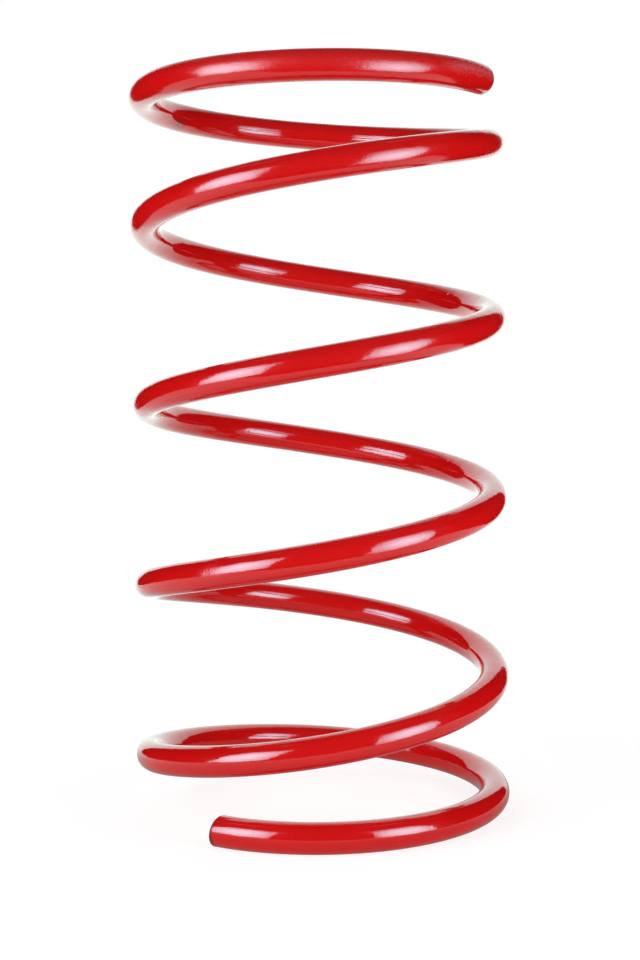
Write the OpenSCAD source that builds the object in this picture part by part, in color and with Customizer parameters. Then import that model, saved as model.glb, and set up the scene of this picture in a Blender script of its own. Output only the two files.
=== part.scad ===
// Coil spring for a car's suspension: one round steel wire, wound on a cylinder and painted all over.
// The pitch grows smoothly from nothing at each end, so the end turns lie down on their seats.
// Both ends are cut square to the wire, with a rounded rim, and aren't ground flat.
// The coil stands on its lower end, with its axis along +Z and the origin in the middle of its base.

/* [Wire] */
// Diameter of the wire, with its paint
wire_d = 12; // [6:0.5:18]
// Radius of the rounded rim at each cut end
rim_round = 0.8; // [0.5:0.1:2.5]

/* [Coil] */
// Diameter of the coil, through the middle of the wire
coil_d = 140; // [80:1:240]
// Height of the free spring, over both end turns
free_height = 298; // [200:1:450]
// Turns of wire, from cut end to cut end
turns = 5.28; // [4:0.01:8]
// Place of the lower cut end round the coil, in degrees from the +X side
start_angle = -125; // [-180:1:180]
// Hand of the winding, as for a screw thread
hand = "right"; // [right, left]

/* [End turns] */
// Turns over which the pitch grows to its full value at the lower end
lower_closing = 1.3; // [0.5:0.05:1.8]
// Turns over which the pitch dies away at the upper end
upper_closing = 1.35; // [0.5:0.05:1.8]

/* [Hidden] */

// Facets round the wire, along each turn, and over each rounded rim
wire_sides = 20;
rings_per_turn = 40;
rim_steps = 3;

wire_r = wire_d / 2;
coil_r = coil_d / 2;
turn_length = PI * coil_d;
sweep = 360 * turns;
upper_start = turns - upper_closing;
// A closing stretch climbs half as far as it would at full pitch
pitch = (free_height - wire_d) / (turns - (lower_closing + upper_closing) / 2);

// Pitch, as a share of the full one, at t turns into a closing stretch: a smooth step from 0 to 1
function eased_pitch(t, stretch) =
    let (x = min(max(t / stretch, 0), 1))
    3 * pow(x, 2) - 2 * pow(x, 3);

// Height that this pitch has gained by then, in full pitches
function eased_climb(t, stretch) =
    let (x = min(max(t / stretch, 0), 1))
    stretch * (pow(x, 3) - pow(x, 4) / 2) + max(t - stretch, 0);

// Pitch of the wire, and height of its middle, at t turns from the lower end
function wire_pitch(t) = pitch * (eased_pitch(t, lower_closing) - eased_pitch(t - upper_start, upper_closing));
function wire_z(t) =
    wire_r + pitch * (eased_climb(t, lower_closing) - eased_climb(t - upper_start, upper_closing));

// Point on a ring square to the wire: angle wound so far, radius of the ring, angle round the wire
function ring_point(wound, radius, around) =
    let (t = wound / 360,
         place = start_angle + wound,
         lead = atan2(wire_pitch(t), turn_length),
         from_axis = coil_r + radius * cos(around),
         up = radius * sin(around),
         back = up * sin(lead))
    [from_axis * cos(place) + back * sin(place),
     from_axis * sin(place) - back * cos(place),
     wire_z(t) + up * cos(lead)];

// Rings along the wire, each as the angle wound so far and the ring's radius
rim_angle = 360 * rim_round / turn_length;
lower_rim = [for (i = [0 : rim_steps - 1])
    let (bend = 90 * i / rim_steps)
    [rim_angle * (1 - cos(bend)), wire_r - rim_round * (1 - sin(bend))]];
upper_rim = [for (i = [rim_steps - 1 : -1 : 0]) [sweep - lower_rim[i][0], lower_rim[i][1]]];
wound_steps = ceil(turns * rings_per_turn);
full_rings = [for (i = [0 : wound_steps])
    [rim_angle + (sweep - 2 * rim_angle) * i / wound_steps, wire_r]];
rings = concat(lower_rim, full_rings, upper_rim);
last_ring = len(rings) - 1;

wire_points = [for (ring = rings, side = [0 : wire_sides - 1])
    ring_point(ring[0], ring[1], 360 * side / wire_sides)];

// Two triangles fill each square between neighbouring rings, and one flat face closes each cut end
function corner(ring, side) = ring * wire_sides + side % wire_sides;
wire_faces = concat(
    [[for (side = [wire_sides - 1 : -1 : 0]) corner(0, side)]],
    [for (ring = [0 : last_ring - 1], side = [0 : wire_sides - 1])
        [corner(ring, side), corner(ring + 1, side + 1), corner(ring + 1, side)]],
    [for (ring = [0 : last_ring - 1], side = [0 : wire_sides - 1])
        [corner(ring, side), corner(ring, side + 1), corner(ring + 1, side + 1)]],
    [[for (side = [0 : wire_sides - 1]) corner(last_ring, side)]]);

module wound_wire() {
    polyhedron(points = wire_points, faces = wire_faces, convexity = 12);
}

module coil_spring() {
    color("#c8141b")
        if (hand == "left")
            mirror([0, 1, 0]) wound_wire();
        else
            wound_wire();
}

coil_spring();
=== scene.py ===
"""Looks of a coil spring for a car's suspension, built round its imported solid.

One round steel wire, wound so that its end turns close down, under a gloss red powder coat.
Lengths are in metres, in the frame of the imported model.
"""

import math

import bpy
from bpy.props import FloatProperty, FloatVectorProperty, PointerProperty
from bpy.types import NodeSocket, Operator, Panel, PropertyGroup
from mathutils import Color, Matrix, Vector


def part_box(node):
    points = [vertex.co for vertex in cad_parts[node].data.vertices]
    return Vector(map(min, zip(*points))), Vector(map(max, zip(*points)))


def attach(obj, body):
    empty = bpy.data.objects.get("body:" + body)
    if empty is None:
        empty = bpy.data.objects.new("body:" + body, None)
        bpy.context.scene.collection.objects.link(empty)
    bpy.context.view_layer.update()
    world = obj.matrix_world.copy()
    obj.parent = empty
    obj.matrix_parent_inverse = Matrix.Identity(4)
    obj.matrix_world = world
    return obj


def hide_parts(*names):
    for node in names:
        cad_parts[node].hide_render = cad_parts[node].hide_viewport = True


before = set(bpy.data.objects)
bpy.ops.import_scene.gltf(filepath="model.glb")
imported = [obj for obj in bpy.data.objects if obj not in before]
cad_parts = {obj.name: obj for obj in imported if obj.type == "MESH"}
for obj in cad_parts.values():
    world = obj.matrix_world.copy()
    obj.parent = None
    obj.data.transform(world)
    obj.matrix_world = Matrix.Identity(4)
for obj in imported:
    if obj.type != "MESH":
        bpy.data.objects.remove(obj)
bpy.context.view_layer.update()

bl_info = {
    "name": "Coil Spring",
    "version": (1, 0, 0),
    "blender": (4, 5, 0),
    "location": "View3D > Sidebar > Coil Spring",
    "description": "Winds a powder coated coil spring and lights it in a small studio",
    "category": "Object",
}

MM = 0.001
FULL_TURN = 2 * math.pi
WHITE = (1, 1, 1, 1)
# Largest value of a channel in a hex colour
FULL_CHANNEL = 255

SPRING_NODE = "coil_spring"
SPRING_LOW, SPRING_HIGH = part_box(SPRING_NODE)
WIRE_DIAMETER = 12 * MM

# Fineness of the wound wire: rings along a turn, sides round the wire, steps over a rounded rim
RINGS_PER_TURN = 120
WIRE_SIDES = 40
RIM_STEPS = 6
# A round bevel has this many sides, and two more for each step of its resolution
PLAIN_BEVEL_SIDES = 4
# Profile of a bevel that is part of a circle
ROUND_PROFILE = 0.5
# No face of the wire but a cut end has more sides than this
MOST_SIDES = 4
SMOOTH_BELOW = math.radians(40)
WELD = 0.001 * MM
# Length of wire that is wound below the lower end, and then cut off
OVERSHOOT = 2 * MM
# Rings of the dish in a cut end: shares of the flat's radius and of the dish's depth that each takes
DISH_RINGS = ((1 / 5, 0), (1 / 4, 2 / 3), (1 / 4, 1 / 3))

# Roughness of the coat where it is smooth, and what a dry, a thin and a dusty place add to it
SMOOTH_ROUGHNESS = 0.09
DRY_ROUGHNESS = 0.22
THIN_ROUGHNESS = 0.2
DUSTY_ROUGHNESS = 0.12
COAT_IOR = 1.55
# Detail of the noise in patches of thick coat, in the waves and dimples of the orange peel and in
# dry grain
PATCH_DETAIL = 3
WAVE_DETAIL = 0
DIMPLE_DETAIL = 1
GRAIN_DETAIL = 2
# Heights of the orange peel's waves and dimples, of the grain of a dry place, of a nib and of
# a shear line
WAVE_HEIGHT = 0.08 * MM
DIMPLE_HEIGHT = 0.03 * MM
GRAIN_HEIGHT = 0.125 * MM
NIB_HEIGHT = 0.15 * MM
SHEAR_HEIGHT = 0.08 * MM
# The powder lies dry on top of the last turn: a direction, and shares of dryness along it
DRY_WAY = (0, -1, 6)
DRY_TOP = ((1.79, 0), (1.835, 1))
# It is a little dry on the outside of the upper turns: shares by the distance from the axis and
# by height
DRY_OUTSIDE = ((70 * MM, 0), (75 * MM, 1))
DRY_HEIGHT = ((120 * MM, 0), (200 * MM, 0.2))
# Smaller dry places, scuffs and specks of dust that were baked in, with shares by the distance from one
DRY_SPOTS = ((-41.7 * MM, -63.5 * MM, 104.8 * MM),)
DRY_SPOT = ((0, 1), (8 * MM, 0))
SCUFFS = ((-58.6 * MM, 30.5 * MM, 283.2 * MM),)
SCUFF = ((0, 1), (5 * MM, 0))
NIBS = (
    (58.6 * MM, -47.5 * MM, 289.4 * MM),
    (-54.8 * MM, 35.5 * MM, 154.5 * MM),
    (55.4 * MM, 34.3 * MM, 211.0 * MM),
    (55.0 * MM, 36.0 * MM, 139.7 * MM),
)
NIB = ((0, 1), (0.7 * MM, 0))
# Smaller nibs lie about at random, and reach this far
STRAY_NIB = 0.42 * MM
# More than any distance on the spring
FAR_AWAY = 1
# A scuff is broken up where the grain is low
SCUFF_MARKS = ((0.44, 0), (0.54, 1))
# Dust rubbed into the upper end, in a pale band near the top of the wire that is partly a painted
# sheen:
# its shares along X and up Z, how far its edge wanders, and how much it hides
DUST_AND_SHEEN_ALONG = ((46 * MM, 0), (55 * MM, 1))
DUST_AND_SHEEN_UP = ((290.6 * MM, 0), (293.4 * MM, 1), (294.2 * MM, 1), (296.6 * MM, 0))
DUST_AND_SHEEN_WANDER = 7 * MM
DUST_AND_SHEEN_SHARE = 0.11
# Shares of thin coat, whose darker red over the rims is partly painted shade, and of bare shear lines
# by the distance from the middle of a cut end
THIN_COAT_AND_SHADE = ((4.9 * MM, 0), (5.7 * MM, 1), (6.05 * MM, 1), (6.3 * MM, 0))
CUT_FACE = ((4.8 * MM, 1), (5.4 * MM, 0))
# Bands of a wave texture of scale 1 are this far apart; the shear lines are bent this much
BAND_SPACING = math.pi / 10
SHEAR_BEND = 3

# Corners of the table top, as the gloss of the lower turns shows them, from its front left
TABLE_CORNERS = (
    (-0.68, -0.45),
    (-0.30, -0.40),
    (-0.15, -0.28),
    (0.10, -0.25),
    (0.30, -0.18),
    (0.52, -0.12),
    (0.52, -0.04),
    (0.25, 0.20),
    (0.30, 0.90),
    (-0.32, 0.90),
    (-0.33, 0.28),
    (-0.68, 0.02),
)
# White that the table top shows by itself under the spring, the share of its light and shadow that
# is seen, and the light that it sends up to the undersides
TABLE_LIFT = 0.82
TABLE_SHADOW = 0.3
TABLE_GLOW = 0.11
# Distances from the coil's axis over which the table top fades to white
TABLE_FADE = (130 * MM, 265 * MM)
# Corners of the paper under and behind the spring, its brightness, and shares of that by the distance
# from the spring's axis, a painted shadow of the spring, and along the paper, as painted light
PAPER_CORNERS = (
    (-0.236, -0.270, 0.0003),
    (0.236, -0.205, 0.0003),
    (-0.236, 0.300, 0.0003),
    (0.236, 0.300, 0.0003),
    (-0.236, 0.300, 0.640),
    (0.236, 0.300, 0.640),
)
PAPER_GLOW = 1.78
PAPER_SHADE = ((0.08, 0.40), (0.11, 0.62), (0.14, 0.74), (0.17, 0.86), (0.25, 1))
PAPER_LIGHT = ((0.08, 0.49), (0.20, 0.62), (0.30, 0.8), (0.42, 1), (0.72, 1), (0.88, 0.3))
# Softboxes: angle round the spring from the camera's side, distance from its axis, sizes, place of the
# brightest spot from the middle and how far the glow reaches from it, glow of that spot, and power of
# the lamp
SOFTBOXES = {
    "softbox_left": {
        "azimuth": math.radians(-50.2),
        "distance": 620 * MM,
        "width": 445 * MM,
        "low": 30 * MM,
        "high": 680 * MM,
        "brightest": (-12 * MM, -62 * MM, 0),
        "reach": (440 * MM, 600 * MM, 1),
        "glow": 16.4,
        "power": 3.14,
    },
    "softbox_right": {
        "azimuth": math.radians(46.2),
        "distance": 500 * MM,
        "width": 325 * MM,
        "low": -110 * MM,
        "high": 500 * MM,
        "brightest": (8 * MM, -25 * MM, 0),
        "reach": (300 * MM, 430 * MM, 1),
        "glow": 15.6,
        "power": 1.96,
    },
}
# Flag that shades the far bends from a softbox: its distance from the coil's axis towards the softbox,
# and its near edge, width and height beside the line between them
FLAG_DISTANCE = 62 * MM
FLAG_EDGE = 57 * MM
FLAG_WIDTH = 50 * MM
FLAG_HEIGHT = 340 * MM
# Power of the light that comes back from the paper behind the spring
PAPER_POWER = 0.9
# Round room that the gloss shows: its radius, its floor and ceiling, and the sides of its wall
ROOM_RADIUS = 2200 * MM
ROOM_LOW, ROOM_HIGH = -800 * MM, 2600 * MM
ROOM_SIDES = 180
# Least share of a face's direction that points up on the ceiling, or back on the wall behind the camera
CEILING_SHARE = 0.5
CAMERA_WALL_SHARE = 0.1


def linear(hex_colour):
    """Linear colour of an sRGB hex value."""
    channels = bytes.fromhex(hex_colour.lstrip("#"))
    return tuple(Color([channel / FULL_CHANNEL for channel in channels]).from_srgb_to_scene_linear())


class SpringSizes(PropertyGroup):
    """Sizes of the wire and of the coil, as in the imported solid"""

    wire_diameter: FloatProperty(
        name="Wire",
        description="Diameter of the wire, with its paint",
        default=WIRE_DIAMETER,
        unit="LENGTH",
    )
    coil_diameter: FloatProperty(
        name="Coil",
        description="Diameter of the coil, through the middle of the wire",
        default=SPRING_HIGH.x - SPRING_LOW.x - WIRE_DIAMETER,
        unit="LENGTH",
    )
    free_height: FloatProperty(
        name="Free height",
        description="Height of the free spring, over both end turns",
        default=SPRING_HIGH.z - SPRING_LOW.z,
        unit="LENGTH",
    )
    turns: FloatProperty(
        name="Turns",
        description="Turns of wire, from cut end to cut end",
        default=5.28,
    )
    start_angle: FloatProperty(
        name="Lower end",
        description="Place of the lower cut end round the coil, from the +X side",
        default=math.radians(-125),
        subtype="ANGLE",
    )
    lower_closing: FloatProperty(
        name="Lower closing",
        description="Turns over which the pitch grows to its full value at the lower end",
        default=1.3,
    )
    upper_closing: FloatProperty(
        name="Upper closing",
        description="Turns over which the pitch dies away at the upper end",
        default=1.35,
    )
    rim_round: FloatProperty(
        name="Rim",
        description="Radius of the rounded rim at each cut end",
        default=0.8 * MM,
        unit="LENGTH",
    )
    cut_lean: FloatProperty(
        name="Cut lean",
        description="Angle by which the lower cut leans, so that its foot stands out",
        default=math.radians(8.5),
        subtype="ANGLE",
    )
    cut_dish: FloatProperty(
        name="Cut dish",
        description="Depth of the shallow dish that the shear leaves in each cut end",
        default=0.25 * MM,
        unit="LENGTH",
    )


class SpringCoat(PropertyGroup):
    """Colours and sizes of the powder coat"""

    red: FloatVectorProperty(
        name="Red",
        description="Colour of the coat where it lies at its usual thickness",
        default=linear("#d11011"),
        subtype="COLOR",
    )
    thick_red: FloatVectorProperty(
        name="Thick red",
        description="Colour of the coat where more powder lies",
        default=linear("#c50e0f"),
        subtype="COLOR",
    )
    # Darker red over the rims of the cut ends: partly the thin coat, partly painted shade where the
    # rims turn away from the light
    thin_coat_and_shade_red: FloatVectorProperty(
        name="Thin red",
        description="Colour over the rims of the cut ends, where the steel darkens the thin coat",
        default=linear("#7c0a12"),
        subtype="COLOR",
    )
    scuff_grey: FloatVectorProperty(
        name="Scuff",
        description="Colour of the marks in a scuffed place",
        default=linear("#3c2a2d"),
        subtype="COLOR",
    )
    # Pale dust at the upper end, partly a painted sheen along the top of the wire
    dust_and_sheen_grey: FloatVectorProperty(
        name="Dust",
        description="Colour of the dust rubbed into the upper end",
        default=linear("#d2c8d0"),
        subtype="COLOR",
    )
    patch: FloatProperty(
        name="Patch",
        description="Width of the patches in which more powder lies",
        default=45 * MM,
        unit="LENGTH",
    )
    peel_wave: FloatProperty(
        name="Peel wave",
        description="Length of the long waves that the melted powder sets in",
        default=6 * MM,
        unit="LENGTH",
    )
    peel_grain: FloatProperty(
        name="Peel grain",
        description="Width of the small dimples of the orange peel",
        default=1.8 * MM,
        unit="LENGTH",
    )
    dry_grain: FloatProperty(
        name="Dry grain",
        description="Width of the grains where the powder lies dry",
        default=1.0 * MM,
        unit="LENGTH",
    )
    nib_spacing: FloatProperty(
        name="Nib spacing",
        description="Usual distance between specks of dust that were baked in",
        default=13 * MM,
        unit="LENGTH",
    )
    shear_line: FloatProperty(
        name="Shear line",
        description="Width of the lines that the shear left in the cut faces",
        default=1.2 * MM,
        unit="LENGTH",
    )


class SpringStudio(PropertyGroup):
    """Colours, light and camera of the studio"""

    table_white: FloatVectorProperty(
        name="Table",
        description="Colour of the table top",
        default=linear("#f3f3f3"),
        subtype="COLOR",
    )
    paper_white: FloatVectorProperty(
        name="Paper",
        description="Colour that the lit paper shows in the gloss",
        default=linear("#e4fffc"),
        subtype="COLOR",
    )
    softbox_white: FloatVectorProperty(
        name="Softboxes",
        description="Colour that the softboxes show in the gloss",
        default=linear("#aeecff"),
        subtype="COLOR",
    )
    cloth_black: FloatVectorProperty(
        name="Cloth",
        description="Colour of the dark cloth of the room and the flags, which only the gloss shows",
        default=linear("#2a2a2a"),
        subtype="COLOR",
    )
    wall_grey: FloatVectorProperty(
        name="Wall",
        description="Colour of the ceiling and the wall behind the camera, which only the gloss shows",
        default=linear("#8a8a8a"),
        subtype="COLOR",
    )
    room_light: FloatProperty(
        name="Room light",
        description="Strength of the even light from all round",
        default=0.22,
    )
    camera_distance: FloatProperty(
        name="Camera distance",
        description="Level distance of the camera from the coil's axis",
        default=728 * MM,
        unit="LENGTH",
    )
    camera_height: FloatProperty(
        name="Camera height",
        description="Height of the camera above the table",
        default=185.7 * MM,
        unit="LENGTH",
    )
    camera_tilt: FloatProperty(
        name="Camera tilt",
        description="Angle by which the camera looks down",
        default=math.radians(2.09),
        subtype="ANGLE",
    )
    camera_pan: FloatProperty(
        name="Camera pan",
        description="Angle by which the camera looks to its right",
        default=math.radians(0.035),
        subtype="ANGLE",
    )
    camera_roll: FloatProperty(
        name="Camera roll",
        description="Angle by which the camera leans to its right",
        default=math.radians(0.603),
        subtype="ANGLE",
    )
    lens: FloatProperty(
        name="Lens",
        description="Focal length for a picture 36 mm high",
        default=67,
    )
    lens_shift: FloatProperty(
        name="Lens shift",
        description="Shift of the lens upwards, as a share of the picture's height",
        default=-0.0625,
    )


def eased_climb(t, stretch):
    """Full pitches climbed t turns into a closing stretch, where the pitch is a smooth step."""
    share = min(max(t / stretch, 0), 1)
    return stretch * (share**3 - share**4 / 2) + max(t - stretch, 0)


def wire_place(sizes, t):
    """Middle of the wire at t turns from the lower end."""
    climbing_turns = sizes.turns - (sizes.lower_closing + sizes.upper_closing) / 2
    pitch = (sizes.free_height - sizes.wire_diameter) / climbing_turns
    upper_start = sizes.turns - sizes.upper_closing
    climb = eased_climb(t, sizes.lower_closing) - eased_climb(t - upper_start, sizes.upper_closing)
    angle = sizes.start_angle + FULL_TURN * t
    radius = sizes.coil_diameter / 2
    return Vector(
        (
            radius * math.cos(angle),
            radius * math.sin(angle),
            sizes.wire_diameter / 2 + pitch * climb,
        )
    )


def only(thing):
    """Makes one object the only selected one, and the active one."""
    bpy.ops.object.select_all(action="DESELECT")
    thing.select_set(True)
    bpy.context.view_layer.objects.active = thing


def wound_tube(sizes):
    """Open tube along the wire, wound as a curve with a round bevel and then made a mesh."""
    bpy.ops.object.select_all(action="DESELECT")
    bpy.ops.curve.primitive_nurbs_path_add(location=(0, 0, 0))
    tube = bpy.context.object
    tube.name = "wound_wire"
    path = tube.data
    path.splines.clear()
    run = path.splines.new("POLY")
    first = -OVERSHOOT / (math.pi * sizes.coil_diameter)
    steps = math.ceil(sizes.turns * RINGS_PER_TURN)
    run.points.add(steps)
    for step, point in enumerate(run.points):
        point.co = (*wire_place(sizes, first + (sizes.turns - first) * step / steps), 1)
    path.dimensions = "3D"
    path.twist_mode = "Z_UP"
    path.bevel_mode = "ROUND"
    path.bevel_depth = sizes.wire_diameter / 2
    path.bevel_resolution = (WIRE_SIDES - PLAIN_BEVEL_SIDES) // 2
    path.use_fill_caps = False
    bpy.ops.object.convert(target="MESH")
    return bpy.context.object


def select_open_edges():
    """Selects the edges that don't have a face on both sides."""
    bpy.ops.mesh.select_mode(type="EDGE")
    bpy.ops.mesh.select_all(action="DESELECT")
    bpy.ops.mesh.select_non_manifold()


def lean_cut(wire, sizes):
    """Cuts off the lower end of the open tube with a lean, in edit mode."""
    middle = wire_place(sizes, 0)
    bpy.ops.mesh.select_mode(type="FACE")
    bpy.ops.mesh.select_all(action="DESELECT")
    bpy.ops.object.mode_set(mode="OBJECT")
    for face in wire.data.polygons:
        face.select = (face.center - middle).length < sizes.wire_diameter
    bpy.ops.object.mode_set(mode="EDIT")
    off_end = Vector(
        (
            math.sin(sizes.start_angle),
            -math.cos(sizes.start_angle),
            math.tan(sizes.cut_lean),
        )
    )
    bpy.ops.mesh.bisect(plane_co=middle, plane_no=off_end.normalized(), clear_outer=True)


def select_cut_ends():
    """Selects the flat faces at the ends of the wire, by their many sides."""
    bpy.ops.mesh.select_mode(type="FACE")
    bpy.ops.mesh.select_face_by_sides(number=MOST_SIDES, type="GREATER", extend=False)


def cut_ends(wire, sizes):
    """Closes both ends of the tube, rounds their rims and leaves a shallow dish in each."""
    only(wire)
    bpy.ops.object.mode_set(mode="EDIT")
    bpy.ops.mesh.select_all(action="SELECT")
    bpy.ops.mesh.remove_doubles(threshold=WELD)
    lean_cut(wire, sizes)
    select_open_edges()
    bpy.ops.mesh.fill_holes(sides=0)
    select_cut_ends()
    bpy.ops.mesh.region_to_loop()
    bpy.ops.mesh.bevel(
        offset=sizes.rim_round,
        segments=RIM_STEPS,
        profile=ROUND_PROFILE,
        affect="EDGES",
    )
    flat_radius = sizes.wire_diameter / 2 - sizes.rim_round
    select_cut_ends()
    for share, descent in DISH_RINGS:
        bpy.ops.mesh.inset(thickness=share * flat_radius, depth=-descent * sizes.cut_dish)
    bpy.ops.mesh.select_all(action="SELECT")
    bpy.ops.mesh.normals_make_consistent(inside=False)
    select_open_edges()
    bpy.ops.object.mode_set(mode="OBJECT")
    if any(edge.select for edge in wire.data.edges):
        raise RuntimeError("the wound wire isn't closed")
    bpy.ops.object.shade_smooth_by_angle(angle=SMOOTH_BELOW)


def add_node(tree, kind, sockets=None, **settings):
    """Adds a node, sets what it is told to, and fills or links its sockets."""
    node = tree.nodes.new(kind)
    for name, value in settings.items():
        setattr(node, name, value)
    for socket, value in (sockets or {}).items():
        if isinstance(value, NodeSocket):
            tree.links.new(value, node.inputs[socket])
        else:
            node.inputs[socket].default_value = value
    return node


def new_material(name):
    """New material with an empty node tree."""
    material = bpy.data.materials.new(name)
    material.use_nodes = True
    material.node_tree.nodes.clear()
    return material


def steps_along(tree, value, steps):
    """Number that follows a value through pairs of value and number, none of them above 1."""
    first, last = steps[0][0], steps[-1][0]
    share = add_node(tree, "ShaderNodeMapRange", {"Value": value, "From Min": first, "From Max": last})
    ramp = add_node(tree, "ShaderNodeValToRGB", {0: share.outputs[0]})
    stops = ramp.color_ramp.elements
    while len(stops) < len(steps):
        stops.new(1)
    for stop, (reach, number) in zip(stops, steps):
        stop.position = (reach - first) / (last - first)
        stop.color = (number, number, number, 1)
    return ramp.outputs[0]


def from_nearest(tree, place, spots):
    """Distance of a place from the nearest of some spots."""
    nearest = FAR_AWAY
    for spot in spots:
        away = add_node(tree, "ShaderNodeVectorMath", {0: place, 1: spot}, operation="DISTANCE")
        least = add_node(
            tree,
            "ShaderNodeMath",
            {0: away.outputs["Value"], 1: nearest},
            operation="MINIMUM",
        )
        nearest = least.outputs[0]
    return nearest


def powder_coat(coat, sizes):
    """Gloss polyester powder, sprayed on and baked: an even red under a clear skin with orange peel.

    It lies dry and grainy on the top turn and thin and dark over the rims of the cut ends, where the
    dark is partly painted shade; it holds a few specks of dust, and is scuffed and dusty where the
    spring was handled, the dust partly a pale painted sheen.
    """
    material = new_material("polyester_powder_coat_gloss_red")
    tree = material.node_tree
    place = add_node(tree, "ShaderNodeTexCoord").outputs["Object"]
    split = add_node(tree, "ShaderNodeSeparateXYZ", {0: place}).outputs
    level = add_node(tree, "ShaderNodeCombineXYZ", {"X": split["X"], "Y": split["Y"]})
    from_axis = add_node(tree, "ShaderNodeVectorMath", {0: level.outputs[0]}, operation="LENGTH")
    along_dry = add_node(tree, "ShaderNodeVectorMath", {0: place, 1: DRY_WAY}, operation="DOT_PRODUCT")
    to_end = from_nearest(tree, place, [wire_place(sizes, t) for t in (0, sizes.turns)])

    patterns = {}
    for name, width, detail in (
        ("patches", coat.patch, PATCH_DETAIL),
        ("waves", coat.peel_wave, WAVE_DETAIL),
        ("dimples", coat.peel_grain, DIMPLE_DETAIL),
        ("grain", coat.dry_grain, GRAIN_DETAIL),
    ):
        noise = add_node(
            tree,
            "ShaderNodeTexNoise",
            {"Vector": place, "Scale": 1 / width, "Detail": detail},
        )
        patterns[name] = noise.outputs["Fac"]
    cells = add_node(tree, "ShaderNodeTexVoronoi", {"Vector": place, "Scale": 1 / coat.nib_spacing})
    shear_scale = BAND_SPACING / coat.shear_line
    lines = add_node(
        tree,
        "ShaderNodeTexWave",
        {"Vector": place, "Scale": shear_scale, "Distortion": SHEAR_BEND},
    )
    wandering = add_node(
        tree,
        "ShaderNodeMath",
        {0: patterns["grain"], 1: DUST_AND_SHEEN_WANDER, 2: split["Z"]},
        operation="MULTIPLY_ADD",
    )

    # Rims of the cut ends: a thin, rougher coat, and a darker red there that is partly painted shade
    thin = steps_along(tree, to_end, THIN_COAT_AND_SHADE)
    cut = steps_along(tree, to_end, CUT_FACE)
    dry_top = steps_along(tree, along_dry.outputs["Value"], DRY_TOP)
    dry_outside = steps_along(tree, from_axis.outputs["Value"], DRY_OUTSIDE)
    dry_height = steps_along(tree, split["Z"], DRY_HEIGHT)
    dry_spots = steps_along(tree, from_nearest(tree, place, DRY_SPOTS), DRY_SPOT)
    scuffs = steps_along(tree, from_nearest(tree, place, SCUFFS), SCUFF)
    scuff_marks = steps_along(tree, patterns["grain"], SCUFF_MARKS)
    # Dust at the upper end, in a band near the top of the wire whose pale colour is partly a painted
    # sheen
    dust_and_sheen_along = steps_along(tree, split["X"], DUST_AND_SHEEN_ALONG)
    wandering_up = [(z + DUST_AND_SHEEN_WANDER / 2, share) for z, share in DUST_AND_SHEEN_UP]
    dust_and_sheen_up = steps_along(tree, wandering.outputs[0], wandering_up)
    nibs = steps_along(tree, from_nearest(tree, place, NIBS), NIB)
    stray_nib = ((0, 1), (STRAY_NIB / coat.nib_spacing, 0))
    stray_nibs = steps_along(tree, cells.outputs["Distance"], stray_nib)
    masks = {}
    for name, mask, other, operation in (
        ("dry", dry_outside, dry_height, "MULTIPLY"),
        ("dry", dry_top, "dry", "MAXIMUM"),
        ("dry", dry_spots, "dry", "MAXIMUM"),
        ("scuffed", scuffs, scuff_marks, "MULTIPLY"),
        ("dusty", dust_and_sheen_along, dust_and_sheen_up, "MULTIPLY"),
        ("dust", DUST_AND_SHEEN_SHARE, "dusty", "MULTIPLY"),
        ("nibs", nibs, stray_nibs, "MAXIMUM"),
        ("dry grain", patterns["grain"], "dry", "MULTIPLY"),
        ("shear lines", lines.outputs["Fac"], cut, "MULTIPLY"),
    ):
        second = masks.get(other, other)
        joined = add_node(tree, "ShaderNodeMath", {0: mask, 1: second}, operation=operation)
        masks[name] = joined.outputs[0]

    colour = (*coat.red, 1)
    for mask, other in (
        (patterns["patches"], coat.thick_red),
        # Darker red over the rims: thin coat, and partly painted shade
        (thin, coat.thin_coat_and_shade_red),
        # Pale dust at the upper end, partly a painted sheen
        (masks["dust"], coat.dust_and_sheen_grey),
        (masks["scuffed"], coat.scuff_grey),
    ):
        mixed = add_node(
            tree,
            "ShaderNodeMix",
            {"Factor": mask, "A": colour, "B": (*other, 1)},
            data_type="RGBA",
        )
        colour = mixed.outputs[2]

    summed = {}
    for name, base, parts in (
        (
            "roughness",
            SMOOTH_ROUGHNESS,
            (
                (masks["dry"], DRY_ROUGHNESS),
                (thin, THIN_ROUGHNESS),
                (masks["dusty"], DUSTY_ROUGHNESS),
            ),
        ),
        (
            "height",
            0,
            (
                (patterns["waves"], WAVE_HEIGHT),
                (patterns["dimples"], DIMPLE_HEIGHT),
                (masks["dry grain"], GRAIN_HEIGHT),
                (masks["nibs"], NIB_HEIGHT),
                (masks["shear lines"], SHEAR_HEIGHT),
            ),
        ),
    ):
        total = base
        for mask, more in parts:
            added = add_node(
                tree,
                "ShaderNodeMath",
                {0: mask, 1: more, 2: total},
                operation="MULTIPLY_ADD",
            )
            total = added.outputs[0]
        summed[name] = total
    bump = add_node(tree, "ShaderNodeBump", {"Height": summed["height"], "Strength": 1, "Distance": 1})
    shader = add_node(
        tree,
        "ShaderNodeBsdfPrincipled",
        {
            "Base Color": colour,
            "Roughness": summed["roughness"],
            "IOR": COAT_IOR,
            "Normal": bump.outputs[0],
        },
    )
    add_node(tree, "ShaderNodeOutputMaterial", {"Surface": shader.outputs[0]})
    return material


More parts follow.
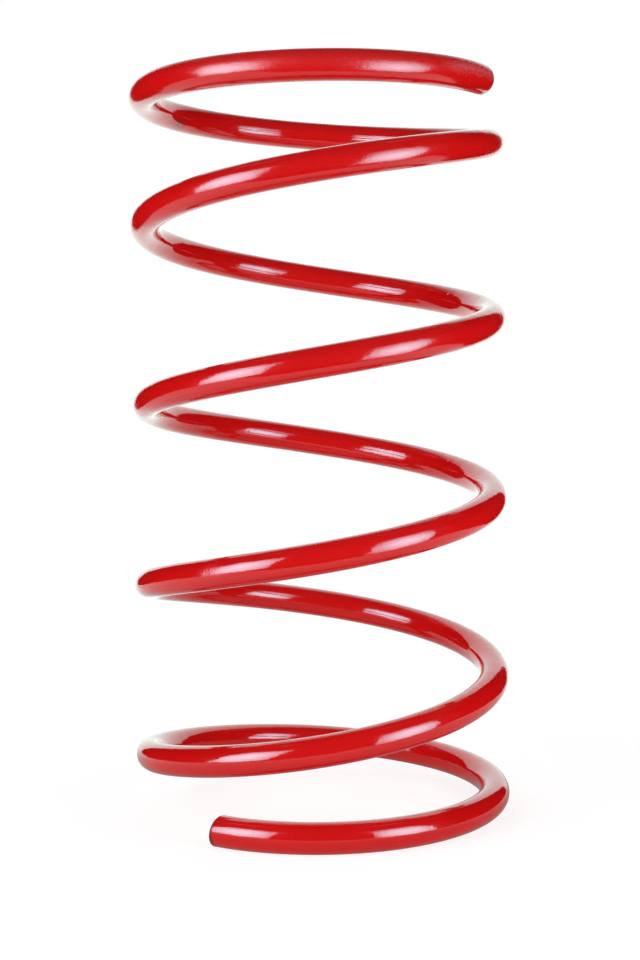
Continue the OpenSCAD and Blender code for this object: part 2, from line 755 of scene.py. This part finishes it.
class SPRING_OT_wind_wire(Operator):
    """Winds the wire, cuts its ends and coats it"""

    bl_idname = "coil_spring.wind_wire"
    bl_label = "Wind the wire"
    bl_options = {"REGISTER", "UNDO"}

    def execute(self, context):
        sizes = context.scene.spring_sizes
        wire = wound_tube(sizes)
        cut_ends(wire, sizes)
        wire.data.materials.clear()
        wire.data.materials.append(powder_coat(context.scene.spring_coat, sizes))
        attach(wire, "root")
        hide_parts(SPRING_NODE)
        return {"FINISHED"}


def seen_white(tree):
    """Share of a ray that sees the white background: all of a camera, glossy or transmission ray."""
    path = add_node(tree, "ShaderNodeLightPath")
    shiny = add_node(
        tree,
        "ShaderNodeMath",
        {0: path.outputs["Is Glossy Ray"], 1: path.outputs["Is Transmission Ray"]},
        operation="MAXIMUM",
    )
    seen = add_node(
        tree,
        "ShaderNodeMath",
        {0: path.outputs["Is Camera Ray"], 1: shiny.outputs[0]},
        operation="MAXIMUM",
    )
    return seen.outputs[0]


def white_room(studio):
    """World that lights evenly and is white to look at."""
    world = bpy.data.worlds.new("white_room")
    world.use_nodes = True
    tree = world.node_tree
    tree.nodes.clear()
    light = add_node(tree, "ShaderNodeBackground", {"Color": WHITE, "Strength": studio.room_light})
    white = add_node(tree, "ShaderNodeBackground", {"Color": WHITE, "Strength": 1})
    mixed = add_node(
        tree,
        "ShaderNodeMixShader",
        {0: seen_white(tree), 1: light.outputs[0], 2: white.outputs[0]},
    )
    add_node(tree, "ShaderNodeOutputWorld", {"Surface": mixed.outputs[0]})
    bpy.context.scene.world = world


def only_in_gloss(thing):
    """Leaves a thing to be seen in the gloss alone: it neither shows, nor shades, nor lights."""
    thing.visible_camera = False
    thing.visible_diffuse = False
    thing.visible_transmission = False
    thing.visible_shadow = False


def table_top(studio):
    """White table top that keeps the spring's shadow and fades into the white background."""
    bpy.ops.mesh.primitive_circle_add(
        vertices=len(TABLE_CORNERS),
        fill_type="NGON",
        location=(0, 0, 0),
    )
    table = bpy.context.object
    table.name = "table_top"
    for vertex, (x, y) in zip(table.data.vertices, TABLE_CORNERS):
        vertex.co = (x, y, 0)
    material = new_material("white_laminate")
    tree = material.node_tree
    seen = seen_white(tree)
    place = add_node(tree, "ShaderNodeTexCoord").outputs["Object"]
    reach = add_node(tree, "ShaderNodeVectorMath", {0: place}, operation="LENGTH")
    fade = add_node(
        tree,
        "ShaderNodeMapRange",
        {"Value": reach.outputs["Value"], "From Min": TABLE_FADE[0], "From Max": TABLE_FADE[1]},
        interpolation_type="SMOOTHSTEP",
    )
    shadow_white = [TABLE_SHADOW * channel for channel in studio.table_white]
    colour = add_node(
        tree,
        "ShaderNodeMix",
        {"Factor": seen, "A": (*studio.table_white, 1), "B": (*shadow_white, 1)},
        data_type="RGBA",
    )
    lift = add_node(
        tree,
        "ShaderNodeMapRange",
        {"Value": seen, "To Min": TABLE_GLOW, "To Max": TABLE_LIFT},
    )
    lit = add_node(tree, "ShaderNodeBsdfDiffuse", {"Color": colour.outputs[2]})
    lifted = add_node(tree, "ShaderNodeEmission", {"Strength": lift.outputs[0]})
    near = add_node(tree, "ShaderNodeAddShader", {0: lit.outputs[0], 1: lifted.outputs[0]})
    far = add_node(tree, "ShaderNodeEmission", {"Strength": 1})
    shown = add_node(tree, "ShaderNodeMath", {0: seen, 1: fade.outputs[0]}, operation="MULTIPLY")
    mixed = add_node(
        tree,
        "ShaderNodeMixShader",
        {0: shown.outputs[0], 1: near.outputs[0], 2: far.outputs[0]},
    )
    add_node(tree, "ShaderNodeOutputMaterial", {"Surface": mixed.outputs[0]})
    table.data.materials.append(material)
    return table


def studio_room(studio):
    """Round room that only the gloss shows: dark cloth, and grey above and behind the camera."""
    bpy.ops.mesh.primitive_cylinder_add(
        vertices=ROOM_SIDES,
        radius=ROOM_RADIUS,
        depth=ROOM_HIGH - ROOM_LOW,
        location=(0, 0, (ROOM_LOW + ROOM_HIGH) / 2),
    )
    room = bpy.context.object
    room.name = "studio_room"
    bpy.ops.object.transform_apply(location=True, rotation=True, scale=True)
    for name, colour in (("black_cotton", studio.cloth_black), ("grey_plaster", studio.wall_grey)):
        material = new_material(name)
        dull = add_node(material.node_tree, "ShaderNodeBsdfDiffuse", {"Color": (*colour, 1)})
        add_node(material.node_tree, "ShaderNodeOutputMaterial", {"Surface": dull.outputs[0]})
        room.data.materials.append(material)
    for face in room.data.polygons:
        is_ceiling = face.normal.z > CEILING_SHARE
        is_behind_camera = face.normal.y < -CAMERA_WALL_SHARE
        face.material_index = int(is_ceiling or is_behind_camera)
    only_in_gloss(room)
    return room


def area_lamp(name, place, turn, width, height, power):
    """Flat lamp that lights the spring and is never seen itself."""
    bpy.ops.object.light_add(type="AREA", location=place, rotation=turn)
    lamp = bpy.context.object
    lamp.name = name
    lamp.data.shape = "RECTANGLE"
    lamp.data.size = width
    lamp.data.size_y = height
    lamp.data.energy = power
    lamp.visible_camera = False
    lamp.visible_glossy = False


def softbox(studio, name, azimuth, distance, width, low, high, brightest, reach, glow, power):
    """Upright softbox that faces the spring: a diffuser that the gloss shows, and a lamp there."""
    place = (distance * math.sin(azimuth), -distance * math.cos(azimuth), (low + high) / 2)
    turn = (math.pi / 2, 0, azimuth)
    bpy.ops.mesh.primitive_plane_add(size=1, location=place, rotation=turn)
    diffuser = bpy.context.object
    diffuser.name = name
    diffuser.scale = (width, high - low, 1)
    bpy.ops.object.transform_apply(location=False, rotation=False, scale=True)
    material = new_material("lit_nylon_" + name)
    tree = material.node_tree
    from_middle = add_node(tree, "ShaderNodeTexCoord").outputs["Object"]
    from_brightest = add_node(
        tree,
        "ShaderNodeVectorMath",
        {0: from_middle, 1: brightest},
        operation="SUBTRACT",
    )
    share = add_node(
        tree,
        "ShaderNodeVectorMath",
        {0: from_brightest.outputs[0], 1: reach},
        operation="DIVIDE",
    )
    length = add_node(tree, "ShaderNodeVectorMath", {0: share.outputs[0]}, operation="LENGTH")
    strength = add_node(
        tree,
        "ShaderNodeMapRange",
        {"Value": length.outputs["Value"], "To Min": glow, "To Max": 0},
        interpolation_type="SMOOTHSTEP",
    )
    shine = add_node(
        tree,
        "ShaderNodeEmission",
        {"Color": (*studio.softbox_white, 1), "Strength": strength.outputs[0]},
    )
    add_node(tree, "ShaderNodeOutputMaterial", {"Surface": shine.outputs[0]})
    diffuser.data.materials.append(material)
    only_in_gloss(diffuser)
    area_lamp(name + "_lamp", place, turn, width, high - low, power)
    return diffuser


def flags(studio):
    """Black flags that keep the softboxes off the coil's far bends, clear from the softbox's side."""
    material = new_material("black_felt")
    tree = material.node_tree
    from_coil = add_node(tree, "ShaderNodeNewGeometry").outputs["Backfacing"]
    clear = add_node(tree, "ShaderNodeBsdfTransparent")
    dull = add_node(tree, "ShaderNodeBsdfDiffuse", {"Color": (*studio.cloth_black, 1)})
    mixed = add_node(
        tree,
        "ShaderNodeMixShader",
        {0: from_coil, 1: clear.outputs[0], 2: dull.outputs[0]},
    )
    add_node(tree, "ShaderNodeOutputMaterial", {"Surface": mixed.outputs[0]})
    cloths = []
    for name, settings in SOFTBOXES.items():
        azimuth = settings["azimuth"]
        side = math.copysign(FLAG_EDGE + FLAG_WIDTH / 2, azimuth)
        across = side * math.cos(azimuth) + FLAG_DISTANCE * math.sin(azimuth)
        back = side * math.sin(azimuth) - FLAG_DISTANCE * math.cos(azimuth)
        bpy.ops.mesh.primitive_plane_add(
            size=1,
            location=(across, back, FLAG_HEIGHT / 2),
            rotation=(math.pi / 2, 0, azimuth),
        )
        cloth = bpy.context.object
        cloth.name = name + "_flag"
        cloth.scale = (FLAG_WIDTH, FLAG_HEIGHT, 1)
        bpy.ops.object.transform_apply(location=True, rotation=True, scale=True)
        cloth.data.materials.append(material)
        only_in_gloss(cloth)
        cloths.append(cloth)
    return cloths


def backdrop(studio):
    """White paper under the spring that rises behind it, which only the gloss shows: it glows with
    painted light from above and a painted shadow of the spring near its axis.
    """
    bpy.ops.mesh.primitive_grid_add(x_subdivisions=1, y_subdivisions=2, size=1, location=(0, 0, 0))
    paper = bpy.context.object
    paper.name = "backdrop"
    for vertex, corner in zip(paper.data.vertices, PAPER_CORNERS):
        vertex.co = corner
    material = new_material("lit_paper")
    tree = material.node_tree
    place = add_node(tree, "ShaderNodeTexCoord").outputs["Object"]
    level = add_node(tree, "ShaderNodeVectorMath", {0: place, 1: (1, 1, 0)}, operation="MULTIPLY")
    reach = add_node(tree, "ShaderNodeVectorMath", {0: level.outputs[0]}, operation="LENGTH")
    along = add_node(tree, "ShaderNodeVectorMath", {0: place, 1: (0, 1, 1)}, operation="DOT_PRODUCT")
    # Painted shadow of the spring near its axis, and painted light rising along the paper
    near = steps_along(tree, reach.outputs["Value"], PAPER_SHADE)
    rise = steps_along(tree, along.outputs["Value"], PAPER_LIGHT)
    light = add_node(tree, "ShaderNodeMath", {0: near, 1: rise}, operation="MULTIPLY")
    strength = add_node(
        tree,
        "ShaderNodeMath",
        {0: light.outputs[0], 1: PAPER_GLOW},
        operation="MULTIPLY",
    )
    shine = add_node(
        tree,
        "ShaderNodeEmission",
        {"Color": (*studio.paper_white, 1), "Strength": strength.outputs[0]},
    )
    add_node(tree, "ShaderNodeOutputMaterial", {"Surface": shine.outputs[0]})
    paper.data.materials.append(material)
    only_in_gloss(paper)
    width = PAPER_CORNERS[-1][0] - PAPER_CORNERS[-2][0]
    depth, height = PAPER_CORNERS[-1][1:]
    lamp_place = (0, depth, height / 2)
    turn = (-math.pi / 2, 0, 0)
    area_lamp("backdrop_lamp", lamp_place, turn, width, height, PAPER_POWER)
    return paper


class SPRING_OT_set_stage(Operator):
    """Sets up the table, the light and the camera"""

    bl_idname = "coil_spring.set_stage"
    bl_label = "Set the stage"
    bl_options = {"REGISTER", "UNDO"}

    def execute(self, context):
        scene = context.scene
        studio = scene.spring_studio
        bpy.ops.object.select_all(action="DESELECT")
        white_room(studio)
        softboxes = [softbox(studio, name, **settings) for name, settings in SOFTBOXES.items()]
        table_top(studio)
        studio_room(studio)
        backdrop(studio)
        flags(studio)
        bpy.ops.object.camera_add(
            location=(0, -studio.camera_distance, studio.camera_height),
            rotation=(math.pi / 2 - studio.camera_tilt, studio.camera_roll, -studio.camera_pan),
        )
        camera = context.object
        camera.data.lens = studio.lens
        camera.data.shift_y = studio.lens_shift
        scene.camera = camera
        scene.view_settings.view_transform = "Standard"
        return {"FINISHED"}


class SPRING_PT_sidebar(Panel):
    """Sizes, colours and steps of the coil spring"""

    bl_idname = "SPRING_PT_sidebar"
    bl_label = "Coil Spring"
    bl_space_type = "VIEW_3D"
    bl_region_type = "UI"
    bl_category = "Coil Spring"

    def draw(self, context):
        scene = context.scene
        for group in (scene.spring_sizes, scene.spring_coat, scene.spring_studio):
            box = self.layout.box()
            for name in group.__annotations__:
                box.prop(group, name)
        self.layout.operator(SPRING_OT_wind_wire.bl_idname)
        self.layout.operator(SPRING_OT_set_stage.bl_idname)


GROUPS = {
    "spring_sizes": SpringSizes,
    "spring_coat": SpringCoat,
    "spring_studio": SpringStudio,
}
CLASSES = (*GROUPS.values(), SPRING_OT_wind_wire, SPRING_OT_set_stage, SPRING_PT_sidebar)


def register():
    for kind in CLASSES:
        bpy.utils.register_class(kind)
    for name, group in GROUPS.items():
        setattr(bpy.types.Scene, name, PointerProperty(type=group))


def unregister():
    for name in GROUPS:
        delattr(bpy.types.Scene, name)
    for kind in reversed(CLASSES):
        bpy.utils.unregister_class(kind)


def main():
    register()
    bpy.ops.coil_spring.wind_wire()
    bpy.ops.coil_spring.set_stage()


if __name__ == "__main__":
    main()
